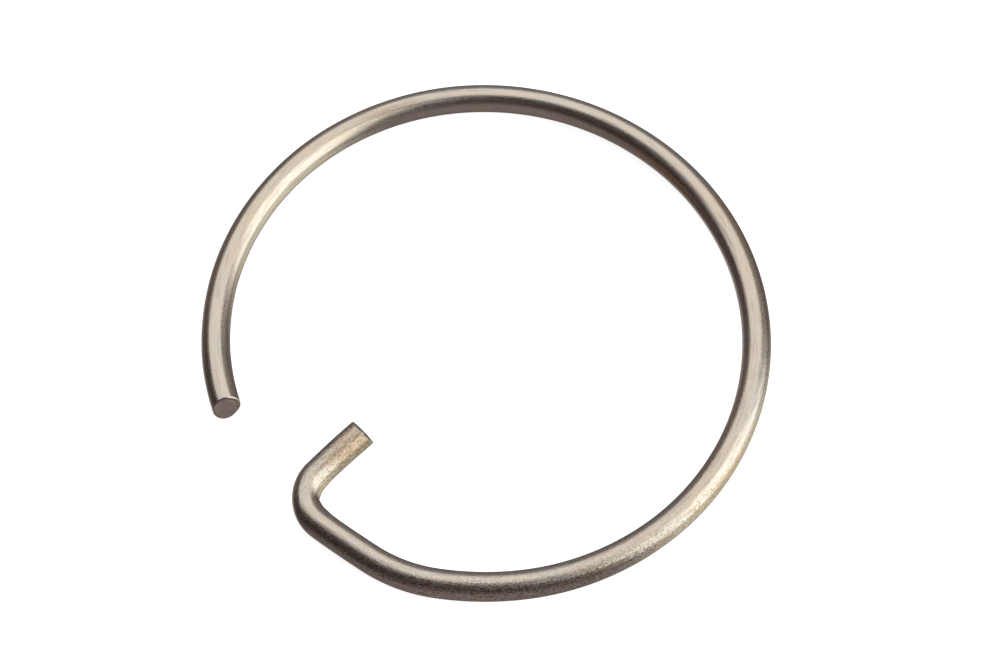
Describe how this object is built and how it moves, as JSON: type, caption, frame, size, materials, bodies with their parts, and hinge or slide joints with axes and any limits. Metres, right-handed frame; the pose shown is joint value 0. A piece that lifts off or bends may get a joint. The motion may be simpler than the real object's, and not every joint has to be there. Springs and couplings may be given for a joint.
{
  "type": "circlip retaining ring",
  "caption": "Round-wire snap ring for a bore groove, with one plain end and one end bent inwards to a short tang.",
  "frame": {"origin": "centre of the evenly coiled part, halfway up the wire", "axes": "+Z along the axis of the ring, +Y along the tang towards the middle of the ring"},
  "size_m": [0.04, 0.0394, 0.002],
  "materials": {
    "spring_steel": "satin drawn spring wire with a slight straw tint, darker drawing lines and bare sheared ends"
  },
  "bodies": {
    "root": {"ring": "spring_steel"}
  },
  "joints": []
}
